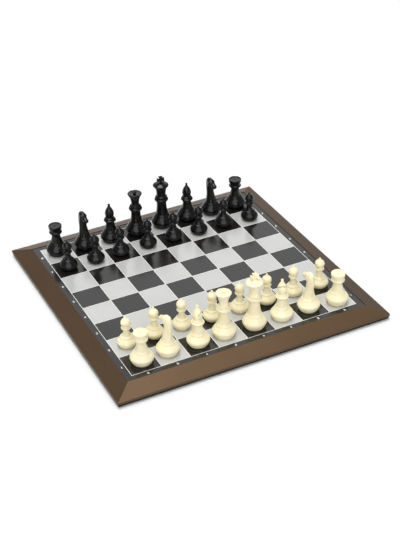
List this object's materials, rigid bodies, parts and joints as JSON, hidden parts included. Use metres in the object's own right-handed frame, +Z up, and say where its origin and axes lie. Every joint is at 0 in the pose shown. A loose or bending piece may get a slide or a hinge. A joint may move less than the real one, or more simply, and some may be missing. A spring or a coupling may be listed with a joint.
{
  "type": "electronic chess computer",
  "caption": "Thin square electronic chess computer: bronze mitred frame, glossy panel of dark and silver squares, and cream and black chessmen set up for play.",
  "frame": {"origin": "centre of the board's footprint, on the surface that the rubber feet stand on", "axes": "+X from the a file to the h file, +Y from White's side to Black's side, +Z up"},
  "size_m": [0.443, 0.443, 0.1102],
  "materials": {
    "bronze_frame": "satin bronze anodised",
    "panel_black": "high gloss",
    "silver_print": "fine satin silver",
    "mark_white": "printed white",
    "housing_black": "fine moulded texture",
    "foot_rubber": "matt",
    "cream_men": "satin moulded",
    "black_men": "satin moulded",
    "circuit_board": "solder mask",
    "sensor_glass": "glass capsule",
    "chip_black": "matt epoxy",
    "connector_cream": "moulded",
    "cable_grey": "smooth",
    "battery_wrap": "shrink wrap",
    "button_black": "satin moulded",
    "steel": "plain steel"
  },
  "bodies": {
    "board": {"frame_rail_front": "bronze_frame", "frame_rail_rear": "bronze_frame", "frame_rail_left": "bronze_frame", "frame_rail_right": "bronze_frame", "frame_corner_keys": "steel", "playing_panel": "panel_black", "silver_squares": "silver_print", "sensor_board": "circuit_board", "square_sensors": "sensor_glass", "base_tray": "housing_black", "rubber_feet": "foot_rubber", "housing_screws": "steel", "main_board": "circuit_board", "main_board_chips": "chip_black", "main_board_screws": "steel", "flat_cable_connectors": "connector_cream", "sensor_flat_cable": "cable_grey", "battery_pack": "battery_wrap", "battery_strap": "housing_black", "speaker": "chip_black", "hook_up_leads": "cable_grey", "control_board": "circuit_board", "button_switches": "chip_black", "charging_socket": "steel"},
    "power_button": {"power_button": "button_black"},
    "new_game_button": {"new_game_button": "button_black"},
    "white_rook_a": {"white_rook_a": "cream_men"},
    "white_knight_b": {"white_knight_b": "cream_men"},
    "white_bishop_c": {"white_bishop_c": "cream_men"},
    "white_queen": {"white_queen": "cream_men"},
    "white_king": {"white_king": "cream_men"},
    "white_bishop_f": {"white_bishop_f": "cream_men"},
    "white_knight_g": {"white_knight_g": "cream_men"},
    "white_rook_h": {"white_rook_h": "cream_men"},
    "white_pawn_a": {"white_pawn_a": "cream_men"},
    "white_pawn_b": {"white_pawn_b": "cream_men"},
    "white_pawn_c": {"white_pawn_c": "cream_men"},
    "white_pawn_d": {"white_pawn_d": "cream_men"},
    "white_pawn_e": {"white_pawn_e": "cream_men"},
    "white_pawn_f": {"white_pawn_f": "cream_men"},
    "white_pawn_g": {"white_pawn_g": "cream_men"},
    "white_pawn_h": {"white_pawn_h": "cream_men"},
    "black_rook_a": {"black_rook_a": "black_men"},
    "black_knight_b": {"black_knight_b": "black_men"},
    "black_bishop_c": {"black_bishop_c": "black_men"},
    "black_queen": {"black_queen": "black_men"},
    "black_king": {"black_king": "black_men"},
    "black_bishop_f": {"black_bishop_f": "black_men"},
    "black_knight_g": {"black_knight_g": "black_men"},
    "black_rook_h": {"black_rook_h": "black_men"},
    "black_pawn_a": {"black_pawn_a": "black_men"},
    "black_pawn_b": {"black_pawn_b": "black_men"},
    "black_pawn_c": {"black_pawn_c": "black_men"},
    "black_pawn_d": {"black_pawn_d": "black_men"},
    "black_pawn_e": {"black_pawn_e": "black_men"},
    "black_pawn_f": {"black_pawn_f": "black_men"},
    "black_pawn_g": {"black_pawn_g": "black_men"},
    "black_pawn_h": {"black_pawn_h": "black_men"}
  },
  "joints": [
    {"name": "power_button_press", "type": "slide", "parent": "board", "child": "power_button", "axis": [0, -1, 0], "range_m": [0, 0.0008], "stiffness_N_per_m": 1000, "springref_m": -0.0003},
    {"name": "new_game_button_press", "type": "slide", "parent": "board", "child": "new_game_button", "axis": [0, -1, 0], "range_m": [0, 0.0008], "stiffness_N_per_m": 1000, "springref_m": -0.0003},
    {"name": "white_rook_a_lift", "type": "slide", "parent": "board", "child": "white_rook_a", "axis": [0, 0, 1], "range_m": [0, 0.12]},
    {"name": "white_knight_b_lift", "type": "slide", "parent": "board", "child": "white_knight_b", "axis": [0, 0, 1], "range_m": [0, 0.12]},
    {"name": "white_bishop_c_lift", "type": "slide", "parent": "board", "child": "white_bishop_c", "axis": [0, 0, 1], "range_m": [0, 0.12]},
    {"name": "white_queen_lift", "type": "slide", "parent": "board", "child": "white_queen", "axis": [0, 0, 1], "range_m": [0, 0.12]},
    {"name": "white_king_lift", "type": "slide", "parent": "board", "child": "white_king", "axis": [0, 0, 1], "range_m": [0, 0.12]},
    {"name": "white_bishop_f_lift", "type": "slide", "parent": "board", "child": "white_bishop_f", "axis": [0, 0, 1], "range_m": [0, 0.12]},
    {"name": "white_knight_g_lift", "type": "slide", "parent": "board", "child": "white_knight_g", "axis": [0, 0, 1], "range_m": [0, 0.12]},
    {"name": "white_rook_h_lift", "type": "slide", "parent": "board", "child": "white_rook_h", "axis": [0, 0, 1], "range_m": [0, 0.12]},
    {"name": "white_pawn_a_lift", "type": "slide", "parent": "board", "child": "white_pawn_a", "axis": [0, 0, 1], "range_m": [0, 0.12]},
    {"name": "white_pawn_b_lift", "type": "slide", "parent": "board", "child": "white_pawn_b", "axis": [0, 0, 1], "range_m": [0, 0.12]},
    {"name": "white_pawn_c_lift", "type": "slide", "parent": "board", "child": "white_pawn_c", "axis": [0, 0, 1], "range_m": [0, 0.12]},
    {"name": "white_pawn_d_lift", "type": "slide", "parent": "board", "child": "white_pawn_d", "axis": [0, 0, 1], "range_m": [0, 0.12]},
    {"name": "white_pawn_e_lift", "type": "slide", "parent": "board", "child": "white_pawn_e", "axis": [0, 0, 1], "range_m": [0, 0.12]},
    {"name": "white_pawn_f_lift", "type": "slide", "parent": "board", "child": "white_pawn_f", "axis": [0, 0, 1], "range_m": [0, 0.12]},
    {"name": "white_pawn_g_lift", "type": "slide", "parent": "board", "child": "white_pawn_g", "axis": [0, 0, 1], "range_m": [0, 0.12]},
    {"name": "white_pawn_h_lift", "type": "slide", "parent": "board", "child": "white_pawn_h", "axis": [0, 0, 1], "range_m": [0, 0.12]},
    {"name": "black_rook_a_lift", "type": "slide", "parent": "board", "child": "black_rook_a", "axis": [0, 0, 1], "range_m": [0, 0.12]},
    {"name": "black_knight_b_lift", "type": "slide", "parent": "board", "child": "black_knight_b", "axis": [0, 0, 1], "range_m": [0, 0.12]},
    {"name": "black_bishop_c_lift", "type": "slide", "parent": "board", "child": "black_bishop_c", "axis": [0, 0, 1], "range_m": [0, 0.12]},
    {"name": "black_queen_lift", "type": "slide", "parent": "board", "child": "black_queen", "axis": [0, 0, 1], "range_m": [0, 0.12]},
    {"name": "black_king_lift", "type": "slide", "parent": "board", "child": "black_king", "axis": [0, 0, 1], "range_m": [0, 0.12]},
    {"name": "black_bishop_f_lift", "type": "slide", "parent": "board", "child": "black_bishop_f", "axis": [0, 0, 1], "range_m": [0, 0.12]},
    {"name": "black_knight_g_lift", "type": "slide", "parent": "board", "child": "black_knight_g", "axis": [0, 0, 1], "range_m": [0, 0.12]},
    {"name": "black_rook_h_lift", "type": "slide", "parent": "board", "child": "black_rook_h", "axis": [0, 0, 1], "range_m": [0, 0.12]},
    {"name": "black_pawn_a_lift", "type": "slide", "parent": "board", "child": "black_pawn_a", "axis": [0, 0, 1], "range_m": [0, 0.12]},
    {"name": "black_pawn_b_lift", "type": "slide", "parent": "board", "child": "black_pawn_b", "axis": [0, 0, 1], "range_m": [0, 0.12]},
    {"name": "black_pawn_c_lift", "type": "slide", "parent": "board", "child": "black_pawn_c", "axis": [0, 0, 1], "range_m": [0, 0.12]},
    {"name": "black_pawn_d_lift", "type": "slide", "parent": "board", "child": "black_pawn_d", "axis": [0, 0, 1], "range_m": [0, 0.12]},
    {"name": "black_pawn_e_lift", "type": "slide", "parent": "board", "child": "black_pawn_e", "axis": [0, 0, 1], "range_m": [0, 0.12]},
    {"name": "black_pawn_f_lift", "type": "slide", "parent": "board", "child": "black_pawn_f", "axis": [0, 0, 1], "range_m": [0, 0.12]},
    {"name": "black_pawn_g_lift", "type": "slide", "parent": "board", "child": "black_pawn_g", "axis": [0, 0, 1], "range_m": [0, 0.12]},
    {"name": "black_pawn_h_lift", "type": "slide", "parent": "board", "child": "black_pawn_h", "axis": [0, 0, 1], "range_m": [0, 0.12]}
  ]
}
